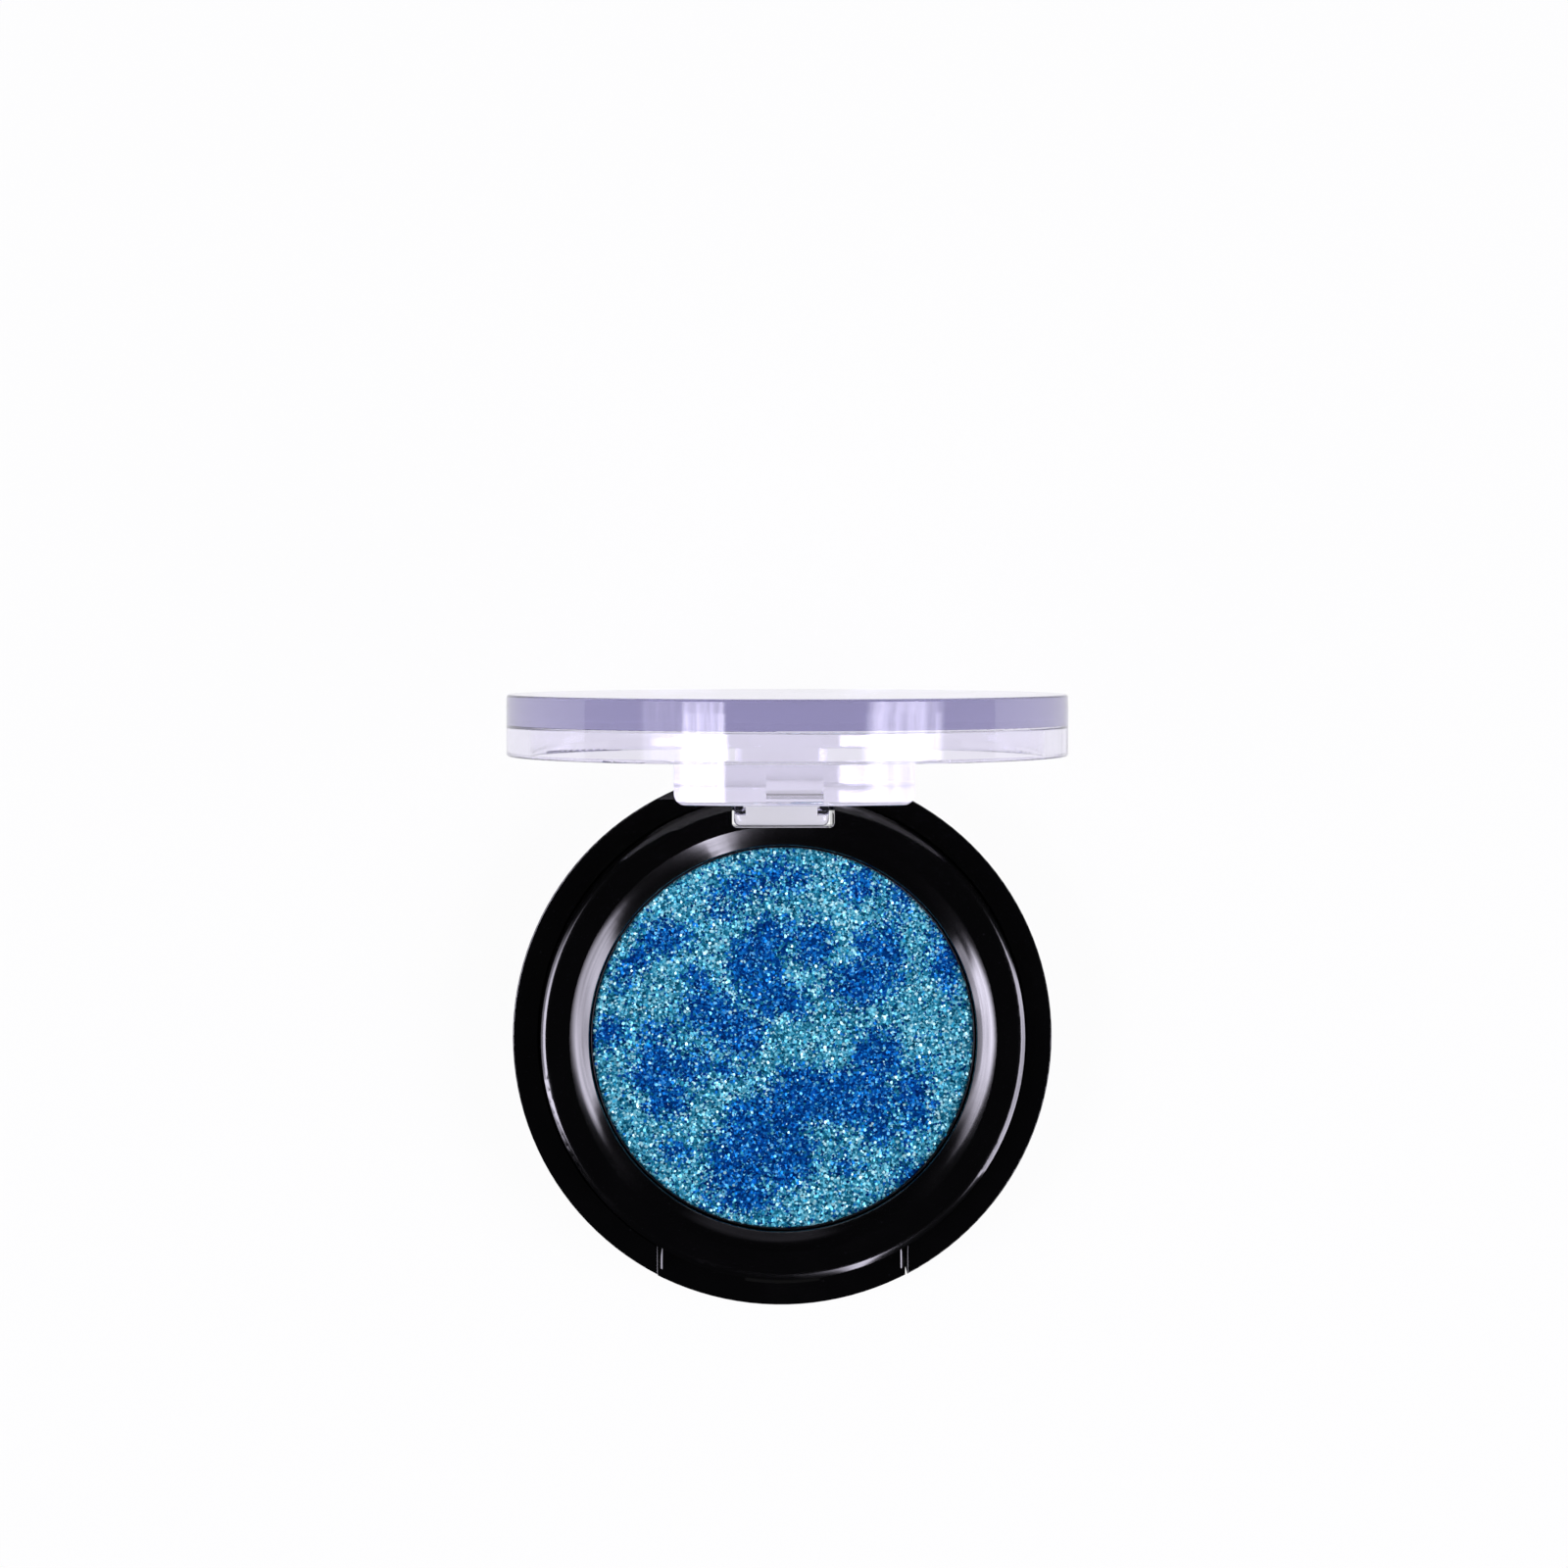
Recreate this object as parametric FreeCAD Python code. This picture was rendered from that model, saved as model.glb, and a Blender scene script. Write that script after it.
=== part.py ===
import FreeCAD, Part
import math
import os

# A round single-pan eyeshadow compact, in millimetres.
# The origin is the centre of the underside, +Z is up, the thumb tab is at -Y and the hinge at +Y.
# The lid is drawn closed and then turned open about the hinge line.

# Powder and pan, from the centre outwards
CAKE_R = 15.5
CAKE_EASE = 0.12
CAKE_FIT = 0.02
PAN_SHEET = 0.16
PAN_H = 3.8
PAN_ROUND = 0.6
PAN_FIT = 0.06
RIM_ABOVE_CAKE = 0.05
GLUE_R = 12.0
GLUE_T = 0.3

# Deck insert that holds the pan
WELL_WALL = 1.06
WELL_FLOOR = 1.0
DISH_W = 1.6
DISH_DEPTH = 0.6
DISH_CROWN = 0.06
DISH_LIP_ROUND = 0.15
CAKE_BELOW_LIP = 0.8
DECK_SKIN = 1.1
COLLAR_WALL = 1.2
COLLAR_TAPER = 0.25
CROWN_R = 1.25
CROWN_FALL = 28.0
DECK_FIT = 0.1
SNAP_OUT = 0.2
SNAP_HALF = 0.3
SNAP_UP = 1.4
SNAP_FIT = 0.08

# Base shell
BASE_WALL = 2.0
BASE_FLOOR = 1.2
BASE_DRAFT = 0.4
FOOT_ROUND = 1.0
LEDGE_ROUND = 0.08
LABEL_R = 14.0
LABEL_T = 0.15
LABEL_FIT = 0.3

# Hinge
PIN_R = 0.6
PIN_RUN = 0.05
PIN_IN_LUG = 0.75
PIN_SUNK = 1.9
PIN_CHAMFER = 0.15
BORE_SPARE = 0.2
KNUCKLE_R = 1.85
KNUCKLE_GAP = 0.25
HINGE_BACK = 3.1
HINGE_RISE = 4.35
LID_LIFT = 0.55
LUG_W = 7.8
LUG_SIDE_GAP = 0.25
LUG_PLATE = 1.85
LUG_CORNER = 0.45
SLOT_LIP = 0.15
SLOT_CORNER = 0.4
EAR_UP = 1.9
EAR_GAP = 0.25
STOP_RIB = 1.2
STOP_GAP = 0.05
SWING_GAP = 0.12
OPEN_ANGLE = 90.0

# Lid
LID_SEAT = 0.15
LID_FIT = 0.3
SKIRT = 2.45
DISC = 2.4
LID_EDGE_ROUND = 0.2
LID_MOUTH_ROUND = 0.25
LID_INNER_ROUND = 0.25
SEAM_DOWN = 1.05
SEAM_DRAFT = 0.03
TAB_W = 17.9
TAB_DROP = 3.05
TAB_ROOT = 1.35
TAB_END = 0.65
TAB_CORNER = 0.9
NOTCH_SIDE = 1.25
NOTCH_UNDER = 0.4
NOTCH_CORNER = 0.5
NOTCH_LIP = 0.45
NOTCH_LIP_H = 0.5

# Catch: a bead on the deck and a hook on the tab
BEAD_W = 6.1
BEAD_OUT = 0.5
BEAD_H = 0.7
BEAD_DOWN = 0.95
HOOK_W = 4.2
HOOK_H = 0.75
HOOK_GAP = 0.1
HOOK_REACH = 0.35
HOOK_PAD = 0.2

# Radii and heights that follow from the sizes above
PAN_R = CAKE_R + CAKE_FIT + PAN_SHEET
WELL_R = PAN_R + PAN_FIT
WELL_OUT_R = WELL_R + WELL_WALL
PIVOT_Y = WELL_OUT_R + KNUCKLE_GAP + KNUCKLE_R
PIVOT_Z = HINGE_BACK + LID_LIFT
CASE_R = PIVOT_Y + HINGE_BACK
BORE_R = CASE_R - BASE_WALL
COLLAR_R = BORE_R - DECK_FIT
SKIRT_R = COLLAR_R + LID_FIT
BASE_H = PIVOT_Z + HINGE_RISE
DECK_TOP = BASE_H + SKIRT
DISH_R = WELL_R + DISH_W
DISH_Z = DECK_TOP - DISH_DEPTH
CAKE_Z = DISH_Z - CAKE_BELOW_LIP
RIM_Z = CAKE_Z + RIM_ABOVE_CAKE
PAN_Z = RIM_Z - PAN_H
WELL_Z = PAN_Z - GLUE_T
LID_EDGE_Z = BASE_H + LID_SEAT
LID_IN_Z = LID_EDGE_Z + SKIRT
LID_OUT_Z = LID_IN_Z + DISC
TAB_END_Z = LID_EDGE_Z - TAB_DROP
NOTCH_Z = TAB_END_Z - NOTCH_UNDER
SNAP_Z = BASE_FLOOR + SNAP_UP
BEAD_TOP_Z = BASE_H - BEAD_DOWN
HOOK_TOP_Z = BEAD_TOP_Z - BEAD_H - HOOK_GAP
SLOT_HALF = LUG_W / 2 + LUG_SIDE_GAP
SLOT_Y = WELL_OUT_R + KNUCKLE_GAP + SLOT_LIP
STOP_Y = PIVOT_Y - KNUCKLE_R - STOP_GAP
EAR_X = math.sqrt(BORE_R ** 2 - (PIVOT_Y - 2 * PIN_R) ** 2)
EAR_Z = PIVOT_Z + EAR_UP
FAR = 4 * CASE_R


def in_rz(r, z):
    """A point of a turned profile, drawn in the plane of X and Z."""
    return FreeCAD.Vector(r, 0, z)


def in_yz(y, z):
    """A point of a side profile, drawn in the plane of Y and Z."""
    return FreeCAD.Vector(0, y, z)


def outline(place, steps):
    """A face whose edge runs through the steps and back to the first of them.

    A step that is one point draws a line to it. A step that is a pair of points draws an arc
    through the first of the pair to the second.
    """
    edges = []
    here = steps[0]
    for step in steps[1:] + steps[:1]:
        if isinstance(step[0], tuple):
            through, end = step
            edges.append(Part.Arc(place(*here), place(*through), place(*end)).toShape())
        else:
            end = step
            edges.append(Part.LineSegment(place(*here), place(*end)).toShape())
        here = end
    return Part.Face(Part.Wire(edges))


def corner(point, radius, came, goes):
    """Two steps that round a square corner, given the directions of travel before and after it."""
    start = (point[0] - radius * came[0], point[1] - radius * came[1])
    end = (point[0] + radius * goes[0], point[1] + radius * goes[1])
    centre = (start[0] + radius * goes[0], start[1] + radius * goes[1])
    reach = math.sqrt(0.5)
    middle = (centre[0] + (point[0] - centre[0]) * reach, centre[1] + (point[1] - centre[1]) * reach)
    return [start, (middle, end)]


def turned(steps):
    """The solid that a profile of radius and height sweeps about the Z axis."""
    return outline(in_rz, steps).revolve(FreeCAD.Vector(), FreeCAD.Vector(0, 0, 1), 360)


def box(x0, x1, y0, y1, z0, z1):
    """A block between two limits along each axis."""
    return Part.makeBox(x1 - x0, y1 - y0, z1 - z0, FreeCAD.Vector(x0, y0, z0))


def rod(radius, x0, x1):
    """A round bar along the hinge line."""
    start = FreeCAD.Vector(x0, PIVOT_Y, PIVOT_Z)
    return Part.makeCylinder(radius, x1 - x0, start, FreeCAD.Vector(1, 0, 0))


def rim_gap(half, floor, round_in, y0, y1):
    """A cutter for a gap in the base's rim, with rounded floor corners and eased top edges."""
    top = BASE_H
    ease = LEDGE_ROUND
    wide = half + ease
    bend = ease * (1 - math.sqrt(0.5))
    steps = [(-wide, top + SKIRT), (-wide, top)]
    steps.append(((-half - bend, top - bend), (-half, top - ease)))
    steps += corner((-half, floor), round_in, (0, -1), (1, 0))
    steps += corner((half, floor), round_in, (1, 0), (0, 1))
    steps.append((half, top - ease))
    steps.append(((half + bend, top - bend), (wide, top)))
    steps.append((wide, top + SKIRT))
    face = outline(in_rz, steps)
    face.translate(FreeCAD.Vector(0, y0, 0))
    return face.extrude(FreeCAD.Vector(0, y1 - y0, 0))


def rear_relief():
    """A cutter that rounds the rear rim about the hinge line, so that the lid's skirt swings past it."""
    behind = box(-FAR, FAR, PIVOT_Y, FAR, PIVOT_Z, FAR)
    return behind.cut(rod(LID_EDGE_Z - PIVOT_Z - SWING_GAP, -FAR, FAR))


def base_shell():
    bay = LABEL_R + LABEL_FIT
    groove = SNAP_OUT + SNAP_FIT
    reach = SNAP_HALF + SNAP_FIT
    steps = [(0, LABEL_T), (bay, LABEL_T), (bay, 0)]
    steps += corner((CASE_R - BASE_DRAFT, 0), FOOT_ROUND, (1, 0), (0, 1))
    steps += corner((CASE_R, BASE_H), LEDGE_ROUND, (0, 1), (-1, 0))
    steps += [(BORE_R, BASE_H), (BORE_R, SNAP_Z + reach)]
    steps.append(((BORE_R + groove, SNAP_Z), (BORE_R, SNAP_Z - reach)))
    steps += [(BORE_R, BASE_FLOOR), (0, BASE_FLOOR)]
    shell = turned(steps)

    # Two ears carry the pins, and the rib between them stops the open lug.
    ears = box(-EAR_X, EAR_X, STOP_Y, CASE_R, 0, EAR_Z)
    span = SLOT_HALF + STOP_RIB
    rib = box(-span, span, STOP_Y - STOP_RIB, STOP_Y, 0, PIVOT_Z - PIN_R)
    block = ears.fuse(rib)
    block = block.common(Part.makeCylinder(BORE_R + groove, BASE_H))
    shell = shell.fuse(block)

    # The floor of the tab's notch stands out as a small lip, sloped back to the wall below.
    half = TAB_W / 2 + NOTCH_SIDE
    inside = CASE_R - BASE_WALL / 2
    brim = CASE_R + NOTCH_LIP
    lip = turned([(inside, NOTCH_Z), (brim, NOTCH_Z), (brim, NOTCH_Z - NOTCH_LIP_H),
                  (inside, NOTCH_Z - NOTCH_LIP_H - (brim - inside))])
    shell = shell.fuse(lip.common(box(-half, half, -FAR, 0, 0, FAR)))

    front = rim_gap(half, NOTCH_Z, NOTCH_CORNER, -FAR, -WELL_OUT_R / 2)
    slot = box(-SLOT_HALF, SLOT_HALF, STOP_Y, FAR, -1, FAR)
    bores = rod(PIN_R, -CASE_R, CASE_R)
    return shell.cut(front).cut(rear_relief()).cut(slot).cut(bores).removeSplitter()


def deck_insert():
    neck = COLLAR_R - COLLAR_TAPER
    under = DISH_Z - DECK_SKIN
    inner = COLLAR_R - COLLAR_WALL
    slope = math.atan2(DISH_DEPTH, DISH_W)
    halfway = ((DISH_R + WELL_R) / 2 - DISH_CROWN * math.sin(slope),
               (DECK_TOP + DISH_Z) / 2 + DISH_CROWN * math.cos(slope))
    steps = [(COLLAR_R, BASE_FLOOR), (COLLAR_R, SNAP_Z - SNAP_HALF)]
    steps.append(((COLLAR_R + SNAP_OUT, SNAP_Z), (COLLAR_R, SNAP_Z + SNAP_HALF)))
    steps.append((COLLAR_R, BASE_H))
    steps += crowned_edge(neck)
    steps.append((DISH_R, DECK_TOP))
    steps.append((halfway, (WELL_R, DISH_Z)))
    steps += [(WELL_R, WELL_Z), (0, WELL_Z), (0, WELL_Z - WELL_FLOOR)]
    steps += [(WELL_OUT_R, WELL_Z - WELL_FLOOR), (WELL_OUT_R, under)]
    steps += [(inner, under), (inner, BASE_FLOOR)]
    deck = turned(steps)
    lip = [e for e in deck.Edges if is_ring(e, WELL_R, DISH_Z)]
    deck = deck.makeFillet(DISH_LIP_ROUND, lip)

    # The catch bead is a short piece of ring on the front of the collar.
    bead_r = COLLAR_R + BEAD_OUT
    ring = turned([(inner, BEAD_TOP_Z - BEAD_H), (bead_r, BEAD_TOP_Z - BEAD_H),
                   (bead_r, BEAD_TOP_Z - BEAD_H / 2), (COLLAR_R, BEAD_TOP_Z), (inner, BEAD_TOP_Z)])
    bead = ring.common(box(-BEAD_W / 2, BEAD_W / 2, -FAR, 0, 0, FAR))
    deck = deck.fuse(bead)

    slot = box(-SLOT_HALF, SLOT_HALF, SLOT_Y, FAR, -1, FAR)
    slot = slot.makeFillet(SLOT_CORNER, [e for e in slot.Edges if is_slot_corner(e)])
    room = EAR_X + EAR_GAP
    ears = box(-room, room, STOP_Y - STOP_GAP, FAR, -1, EAR_Z + EAR_GAP)
    return deck.cut(slot).cut(ears).removeSplitter()


def crowned_edge(outside):
    """Two steps along the collar's top edge, an arc that rises inwards until it is level."""
    fall = math.radians(CROWN_FALL)

    def on_arc(angle):
        across = CROWN_R * (math.sin(fall) - math.sin(angle))
        down = CROWN_R * (1 - math.cos(angle))
        return (outside - across, DECK_TOP - down)

    return [on_arc(fall), (on_arc(fall / 2), on_arc(0))]


def is_ring(edge, radius, height):
    """Whether an edge is a full circle about the Z axis with this radius and height."""
    curve = edge.Curve
    if not isinstance(curve, Part.Circle):
        return False
    return abs(curve.Radius - radius) < 1e-6 and abs(curve.Center.z - height) < 1e-6


def is_slot_corner(edge):
    """Whether an edge stands upright at the closed end of the lug's slot."""
    return edge.BoundBox.ZLength > FAR / 2 and abs(edge.CenterOfMass.y - SLOT_Y) < 1e-6


def metal_pan():
    inside = PAN_R - PAN_SHEET
    steps = [(0, PAN_Z)]
    steps += corner((PAN_R, PAN_Z), PAN_ROUND + PAN_SHEET, (1, 0), (0, 1))
    middle = ((inside + PAN_R) / 2, RIM_Z)
    steps.append((PAN_R, RIM_Z - PAN_SHEET / 2))
    steps.append((middle, (inside, RIM_Z - PAN_SHEET / 2)))
    steps += corner((inside, PAN_Z + PAN_SHEET), PAN_ROUND, (0, -1), (-1, 0))
    steps.append((0, PAN_Z + PAN_SHEET))
    return turned(steps)


def powder_cake():
    bottom = PAN_Z + PAN_SHEET
    steps = [(0, bottom)]
    steps += corner((CAKE_R, bottom), PAN_ROUND, (1, 0), (0, 1))
    steps += corner((CAKE_R, CAKE_Z), CAKE_EASE, (0, 1), (-1, 0))
    steps.append((0, CAKE_Z))
    return turned(steps)


def hinge_pin(side):
    """A pin pressed in from one side of the base, with eased ends."""
    inner = LUG_W / 2 - PIN_IN_LUG
    outer = math.sqrt(CASE_R ** 2 - PIVOT_Y ** 2) - PIN_SUNK
    pin = rod(PIN_R, inner, outer)
    pin = pin.makeChamfer(PIN_CHAMFER, [e for e in pin.Edges if isinstance(e.Curve, Part.Circle)])
    if side < 0:
        pin = pin.mirror(FreeCAD.Vector(), FreeCAD.Vector(1, 0, 0))
    return pin


def lid_body():
    """The clear disc and skirt. Above the seam of the mould the rim leans in a little."""
    seam = LID_OUT_Z - SEAM_DOWN
    steps = [(0, LID_IN_Z)]
    steps += corner((SKIRT_R, LID_IN_Z), LID_INNER_ROUND, (1, 0), (0, -1))
    steps += corner((SKIRT_R, LID_EDGE_Z), LID_MOUTH_ROUND, (0, -1), (1, 0))
    steps += corner((CASE_R, LID_EDGE_Z), LID_MOUTH_ROUND, (1, 0), (0, 1))
    steps.append((CASE_R, seam))
    steps += corner((CASE_R - SEAM_DRAFT, LID_OUT_Z), LID_EDGE_ROUND, (0, 1), (-1, 0))
    steps.append((0, LID_OUT_Z))
    return turned(steps)


def tab_wedge(z):
    """The radius of the tab's inner face, which falls away towards the tab's free end."""
    share = (LID_EDGE_Z - z) / TAB_DROP
    return CASE_R - TAB_ROOT + share * (TAB_ROOT - TAB_END)


def thumb_tab():
    """The front tab, thinner towards its end, with a pad and a hook on its inner face."""
    root = LID_EDGE_Z + SKIRT / 2
    end_round = TAB_END / 2
    steps = [(tab_wedge(LID_EDGE_Z), root), (tab_wedge(LID_EDGE_Z), LID_EDGE_Z)]
    steps.append((tab_wedge(TAB_END_Z), TAB_END_Z))
    steps += corner((CASE_R, TAB_END_Z), end_round, (1, 0), (0, 1))
    steps.append((CASE_R, root))
    tab = turned(steps)
    half = TAB_W / 2
    blank = [(-half, root), *corner((-half, TAB_END_Z), TAB_CORNER, (0, -1), (1, 0)),
             *corner((half, TAB_END_Z), TAB_CORNER, (1, 0), (0, 1)), (half, root)]
    tab = tab.common(outline(in_rz, blank).extrude(FreeCAD.Vector(0, -FAR, 0)))

    behind = (TAB_ROOT + TAB_END) / 4
    foot = TAB_END_Z + end_round
    pad = turned([(tab_wedge(LID_EDGE_Z) - HOOK_PAD, LID_EDGE_Z + LID_MOUTH_ROUND),
                  (tab_wedge(foot) - HOOK_PAD, foot), (tab_wedge(foot) + behind, foot),
                  (tab_wedge(LID_EDGE_Z) + behind, LID_EDGE_Z + LID_MOUTH_ROUND)])
    nose = COLLAR_R + HOOK_REACH
    low = HOOK_TOP_Z - HOOK_H
    hook = turned([(nose, HOOK_TOP_Z), (nose, HOOK_TOP_Z - HOOK_H / 3), (tab_wedge(low), low),
                   (tab_wedge(low) + behind, low), (tab_wedge(HOOK_TOP_Z) + behind, HOOK_TOP_Z)])
    strip = box(-HOOK_W / 2, HOOK_W / 2, -FAR, 0, 0, FAR)
    return tab.fuse(pad.fuse(hook).common(strip))


def hinge_lug():
    """The rear lug: a plate down from the skirt, a round knuckle on the hinge line and a heel."""
    front = CASE_R - LUG_PLATE
    top = LID_IN_Z + DISC / 4
    heel = math.asin(KNUCKLE_R / HINGE_BACK)
    meet = math.acos((front - PIVOT_Y) / KNUCKLE_R)

    def around(radius, angle):
        return (PIVOT_Y + radius * math.cos(angle), PIVOT_Z + radius * math.sin(angle))

    steps = [(front, top), (CASE_R, top), (CASE_R, PIVOT_Z)]
    steps.append((around(HINGE_BACK, -heel / 2), around(HINGE_BACK, -heel)))
    steps.append(around(KNUCKLE_R, -math.pi / 2))
    steps.append((around(KNUCKLE_R, -math.pi * 0.75), around(KNUCKLE_R, -math.pi)))
    steps.append((around(KNUCKLE_R, (math.pi + meet) / 2), around(KNUCKLE_R, meet)))
    face = outline(in_yz, steps)
    face.translate(FreeCAD.Vector(-LUG_W / 2, 0, 0))
    lug = face.extrude(FreeCAD.Vector(LUG_W, 0, 0))
    sides = [e for e in lug.Edges if is_knuckle_side(e)]
    lug = lug.makeFillet(LUG_CORNER, sides)
    return lug.common(Part.makeCylinder(CASE_R, FAR))


def is_knuckle_side(edge):
    """Whether an edge runs round the knuckle on one of the lug's two side faces."""
    on_side = abs(abs(edge.CenterOfMass.x) - LUG_W / 2) < 1e-6
    return on_side and edge.CenterOfMass.y < PIVOT_Y


def lid():
    closed = lid_body().fuse(thumb_tab()).fuse(hinge_lug())
    deep = PIN_IN_LUG + BORE_SPARE
    bore = PIN_R + PIN_RUN
    closed = closed.cut(rod(bore, LUG_W / 2 - deep, LUG_W)).cut(rod(bore, -LUG_W, deep - LUG_W / 2))
    closed = closed.removeSplitter()
    closed.rotate(FreeCAD.Vector(0, PIVOT_Y, PIVOT_Z), FreeCAD.Vector(1, 0, 0), -OPEN_ANGLE)
    return closed


PIECES = {
    "base_shell": base_shell(),
    "deck_insert": deck_insert(),
    "metal_pan": metal_pan(),
    "powder_cake": powder_cake(),
    "pan_adhesive": Part.makeCylinder(GLUE_R, GLUE_T, FreeCAD.Vector(0, 0, WELL_Z)),
    "hinge_pin_left": hinge_pin(-1),
    "hinge_pin_right": hinge_pin(1),
    "lid": lid(),
    "underside_label": Part.makeCylinder(LABEL_R, LABEL_T),
}

os.makedirs("parts", exist_ok=True)
for name, shape in PIECES.items():
    shape.exportStep("parts/" + name + ".step")
    print(name, len(shape.Solids), shape.isValid(), round(shape.Volume, 1), shape.BoundBox)
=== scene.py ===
# %% [markdown]
# # A round eyeshadow compact with a clear lid
#
# The object is a small black make-up case. A pan of pressed glitter powder sits in its middle, and a
# clear lid stands open on a hinge at the back. The solid parts are already modelled at their true size.
# This lesson loads them as a fixed frame, gives each one its finish, and builds the powder anew,
# because pressed glitter is a matter of grain that plain solids can't show.

# %% Load the frame
import math

import bmesh
import bpy
from mathutils import Matrix, Vector, noise


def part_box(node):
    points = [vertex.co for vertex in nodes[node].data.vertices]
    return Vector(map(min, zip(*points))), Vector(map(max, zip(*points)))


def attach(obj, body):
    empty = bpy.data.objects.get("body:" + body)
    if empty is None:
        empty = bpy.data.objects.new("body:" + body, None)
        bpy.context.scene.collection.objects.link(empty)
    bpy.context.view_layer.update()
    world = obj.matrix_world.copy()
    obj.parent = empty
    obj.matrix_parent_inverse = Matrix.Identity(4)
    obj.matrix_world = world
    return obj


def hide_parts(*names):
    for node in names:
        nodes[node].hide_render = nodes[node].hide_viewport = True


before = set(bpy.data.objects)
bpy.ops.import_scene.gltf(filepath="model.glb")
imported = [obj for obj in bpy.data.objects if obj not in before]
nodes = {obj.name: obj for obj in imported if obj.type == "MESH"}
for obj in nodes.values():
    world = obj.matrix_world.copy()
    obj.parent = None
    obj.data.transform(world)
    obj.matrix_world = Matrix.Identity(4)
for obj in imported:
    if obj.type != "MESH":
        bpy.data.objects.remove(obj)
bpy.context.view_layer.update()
MM = 0.001

# %% [markdown]
# ## Sizes to work from
#
# Nothing is measured twice. The height of the ledge and the place of the powder come from the loaded
# solids, so the looks still fit if the solids change.

# %% Read the main sizes from the solids
base_low, base_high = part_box("base_shell")
cake_low, cake_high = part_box("powder_cake")
LEDGE_HEIGHT = base_high.z
CAKE_RADIUS = cake_high.x
print("case", round((base_high.x - base_low.x) / MM, 2), "mm wide, powder", round(2 * CAKE_RADIUS / MM, 2))

# %% [markdown]
# ## The camera
#
# The picture was taken from almost straight above with a long lens. Three things in it fix the camera:
# where the centre of the case lies, how many pixels a millimetre takes at the ledge, and the point that
# all upright edges run towards, which is the spot straight below the lens. The upright lid grows towards
# the lens, and how much it grows gives the distance. A matrix is built by hand because the usual
# look-at helper rolls freely when the view is nearly vertical.

# %% Place the camera
FRAME_SIDE = 1600
PIXELS_PER_MM = 12.526
CASE_CENTRE_PX = Vector((798.6, 1058.6))
BELOW_LENS_PX = Vector((675.4, 618.1))
LENS_ABOVE_LEDGE = 0.3897
SENSOR = 36.0
NEAREST_SEEN = 0.01


def ledge_point(pixel):
    """Where a pixel of the picture falls on the plane of the ledge."""
    step = (pixel - CASE_CENTRE_PX) * (MM / PIXELS_PER_MM)
    return Vector((step.x, -step.y, LEDGE_HEIGHT))


def aim(thing, place, target, up):
    """Stand a camera or lamp at a place, looking at the target."""
    back = (place - target).normalized()
    right = up.cross(back).normalized()
    axes = Matrix((right, back.cross(right), back)).transposed()
    thing.matrix_world = Matrix.Translation(place) @ axes.to_4x4()


def new_object(name, data):
    """Make an object of a mesh, lamp or lens, and link it to the scene."""
    made = bpy.data.objects.new(name, data)
    bpy.context.scene.collection.objects.link(made)
    return made


lens = bpy.data.cameras.new("camera")
camera = new_object("camera", lens)
bpy.context.scene.camera = camera
eye = ledge_point(BELOW_LENS_PX) + Vector((0, 0, LENS_ABOVE_LEDGE))
middle = ledge_point(Vector((FRAME_SIDE / 2, FRAME_SIDE / 2)))
aim(camera, eye, middle, Vector((0, 1, 0)))
lens.sensor_width = SENSOR
lens.lens = PIXELS_PER_MM / MM * (eye - middle).length / FRAME_SIDE * SENSOR
lens.clip_start = NEAREST_SEEN
tilt = math.degrees((eye - middle).angle((0, 0, 1)))
print("lens", round(lens.lens, 1), "mm, tilted by", round(tilt, 2), "degrees")

# %% [markdown]
# ## Small helpers for node trees
#
# Every material and scatter below is a tree of nodes. Made one call at a time, a tree of ten nodes would
# take fifty lines. One helper adds a node, fills its sockets and wires what is already a socket, so that
# each tree reads as a short list.

# %% Node helpers


def plug(tree, socket, value):
    """Wire a socket, or set its value."""
    if isinstance(value, bpy.types.NodeSocket):
        tree.links.new(value, socket)
    else:
        socket.default_value = value


def add(tree, kind, inputs=None, **settings):
    """Add a node with its settings and its inputs, which go by name or by number."""
    made = tree.nodes.new(kind)
    for name, value in settings.items():
        setattr(made, name, value)
    for key, value in (inputs or {}).items():
        plug(tree, made.inputs[key], value)
    return made


def math_node(tree, operation, *values):
    """Add a Math node and give back its result."""
    made = add(tree, "ShaderNodeMath", operation=operation)
    for place, value in enumerate(values):
        plug(tree, made.inputs[place], value)
    return made.outputs[0]


def map_range(tree, value, ends, results=(0.0, 1.0), **settings):
    """Add a Map Range node from two ends to two results, and give back its result."""
    return add(tree, "ShaderNodeMapRange", {
        "Value": value, "From Min": ends[0], "From Max": ends[1],
        "To Min": results[0], "To Max": results[1]}, **settings).outputs[0]


print("node helpers ready")

# %% [markdown]
# ## Small helpers for finishes
#
# A finish is a material, and a solid wears it in its one material slot. The slots that a solid came with
# are cleared first. Its mesh is left alone, because the solids are the true shape of the case.

# %% Finish helpers


def new_material(name):
    """An empty material with its output node."""
    made = bpy.data.materials.new(name)
    made.use_nodes = True
    made.node_tree.nodes.clear()
    out = made.node_tree.nodes.new("ShaderNodeOutputMaterial")
    return made, made.node_tree, out


def dress(node_name, material):
    """Give a loaded solid its finish."""
    slots = nodes[node_name].data.materials
    slots.clear()
    slots.append(material)


print("finish helpers ready")

# %% [markdown]
# ## The floor
#
# The case stands on a white sweep. One flat sheet is enough, because its edges lie far outside the
# picture. It lies a hair below the case, so that the two never share a plane.

# %% Lay the floor
FLOOR_HALF = 1.5
FLOOR_DROP = 0.02 * MM

sweep = bmesh.new()
bmesh.ops.create_grid(sweep, x_segments=2, y_segments=2, size=FLOOR_HALF)
bmesh.ops.translate(sweep, verts=sweep.verts, vec=(0, 0, -FLOOR_DROP))
floor_mesh = bpy.data.meshes.new("floor")
sweep.to_mesh(floor_mesh)
sweep.free()
floor = new_object("floor", floor_mesh)
print("floor", FLOOR_HALF * 2, "m wide")

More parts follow.
